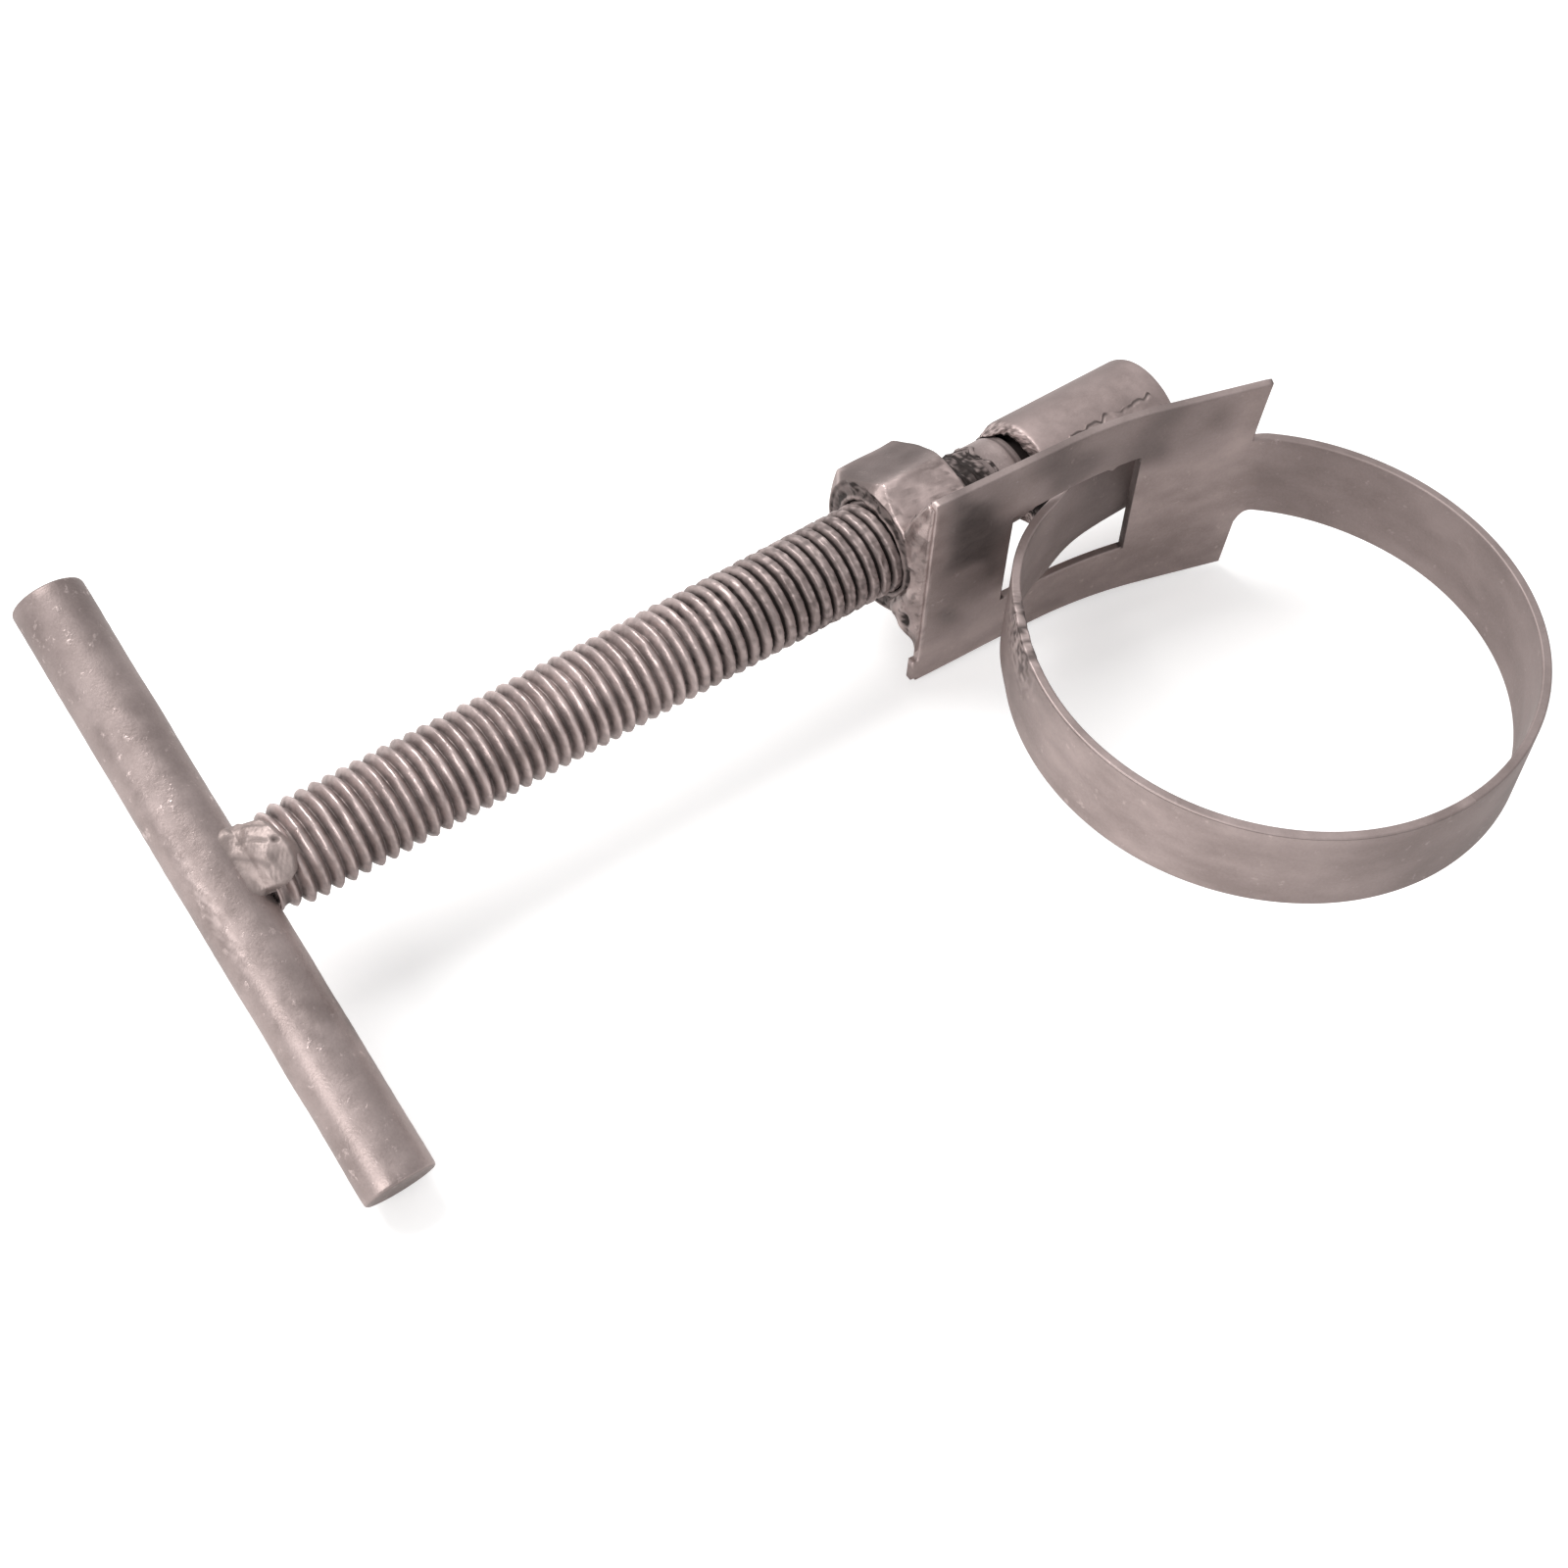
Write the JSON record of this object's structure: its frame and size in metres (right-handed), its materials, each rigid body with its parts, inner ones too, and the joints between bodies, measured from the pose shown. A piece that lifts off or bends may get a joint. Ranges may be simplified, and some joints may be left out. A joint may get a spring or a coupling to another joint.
{
  "type": "t-bar clamp",
  "caption": "Sheet-steel loop clamp for a hose, tightened by a threaded spindle with a cross handle that runs in a nut welded to the band.",
  "frame": {"origin": "on the axis of the hose that the loop holds, at the middle of the band's width", "axes": "+Z along the hose, +X along the screw in the direction in which the sleeve moves to tighten the loop, the screw on the +Y side"},
  "size_m": [0.1526, 0.1098, 0.034],
  "materials": {
    "sheet_steel": "galvanised sheet, dull and slightly mottled",
    "nut_steel": "galvanised, pitted",
    "thread_steel": "galvanised thread, dark in its roots near the nut",
    "bar_steel": "galvanised bar with thin zinc runs",
    "sleeve_steel": "smooth turned steel, dull",
    "weld_bead": "rough weld metal under zinc"
  },
  "bodies": {
    "band": {"clamp_band": "sheet_steel", "hex_nut": "nut_steel", "nut_weld": "weld_bead"},
    "sleeve": {"swivel_sleeve": "sleeve_steel", "sleeve_weld": "weld_bead"},
    "screw": {"spindle": "thread_steel", "t_bar": "bar_steel", "handle_weld": "weld_bead"}
  },
  "joints": [
    {"name": "screw_travel", "type": "slide", "parent": "band", "child": "sleeve", "axis": [1, 0, 0], "range_m": [-0.00088, 0.014], "deforming": ["clamp_band"]},
    {"name": "screw_turn", "type": "hinge", "parent": "sleeve", "child": "screw", "pos_m": [0, 0.04211, 0], "axis": [1, 0, 0], "range_deg": [-180, 2880]}
  ],
  "couplings": [
    {"joint": "screw_turn", "follows": "screw_travel", "rad_per_m": 3590.4}
  ]
}
